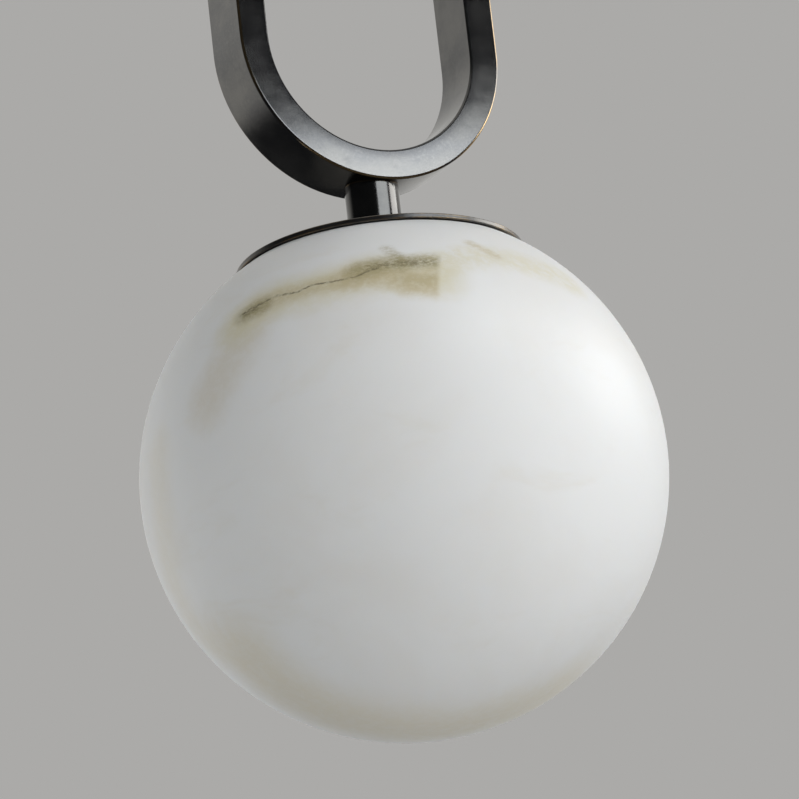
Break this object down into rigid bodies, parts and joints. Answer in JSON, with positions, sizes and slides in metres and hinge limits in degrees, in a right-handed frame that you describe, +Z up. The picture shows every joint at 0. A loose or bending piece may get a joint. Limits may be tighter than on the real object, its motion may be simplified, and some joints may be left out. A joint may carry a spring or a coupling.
{
  "type": "pendant lamp",
  "caption": "Rod-hung pendant lamp: alabaster globe under a dark bronze oval link, with a hang-straight swivel, a round canopy and a twist-off globe over a screw-base lampholder.",
  "frame": {"origin": "middle of the ceiling bracket's top face, where it meets the ceiling; the pendant hangs below along -Z", "axes": "+Z up; +X along the bracket and across the link's width; +Y through the link's window"},
  "size_m": [0.2, 0.2, 0.8587],
  "materials": {
    "alabaster": "honed matte alabaster with brown veins",
    "dark_bronze": "satin dark bronze with worn brown edges",
    "zinc_steel": "zinc plated steel",
    "brass": "plain turned brass",
    "nylon": "natural white nylon",
    "black_rubber": "matte black rubber",
    "bakelite": "semi-gloss black phenolic",
    "porcelain": "unglazed steatite",
    "plated_cap": "bright plated lamp cap",
    "white_plastic": "gloss white plastic",
    "milky_dome": "milky diffusing plastic"
  },
  "bodies": {
    "ceiling": {"ceiling_bracket": "zinc_steel", "terminal_block": "nylon", "terminal_screws": "brass", "earth_screw": "brass", "earth_washer": "brass", "canopy": "dark_bronze", "canopy_screws": "dark_bronze", "canopy_washer": "zinc_steel", "canopy_nut": "zinc_steel", "swivel_stem": "zinc_steel", "swivel_washer": "nylon", "stop_pin": "zinc_steel"},
    "swivel": {"swivel_yoke": "dark_bronze"},
    "pendant": {"swivel_tongue": "dark_bronze", "swivel_pins": "dark_bronze", "tongue_lock_screw": "zinc_steel", "down_rod": "dark_bronze", "neck_lock_screw": "zinc_steel", "upper_neck": "dark_bronze", "upper_nipple": "zinc_steel", "oval_link": "dark_bronze", "link_nuts": "zinc_steel", "lower_neck": "dark_bronze", "lower_nipple": "zinc_steel", "cap_plate": "dark_bronze", "gasket": "black_rubber", "plate_washer": "zinc_steel", "plate_nut": "zinc_steel", "hanging_studs": "zinc_steel", "lampholder_cap": "bakelite", "lampholder_body": "bakelite", "lampholder_insert": "porcelain", "lampholder_shell": "brass", "lampholder_contact": "brass", "bulb_contact": "plated_cap", "bulb_cap": "plated_cap", "bulb_cone": "white_plastic", "bulb_board": "white_plastic", "bulb_dome": "milky_dome"},
    "globe": {"globe_lower_half": "alabaster", "globe_upper_half": "alabaster", "globe_ring": "zinc_steel"}
  },
  "joints": [
    {"name": "swivel_turn", "type": "hinge", "parent": "ceiling", "child": "swivel", "pos_m": [0, 0, -0.0523], "axis": [0, 0, 1], "range_deg": [-165, 165]},
    {"name": "swivel_tilt", "type": "hinge", "parent": "swivel", "child": "pendant", "pos_m": [0, 0, -0.0523], "axis": [0, 1, 0], "range_deg": [-45, 45]},
    {"name": "globe_twist", "type": "hinge", "parent": "pendant", "child": "globe", "pos_m": [0, 0, -0.6747], "axis": [0, 0, 1], "range_deg": [0, 25]}
  ]
}
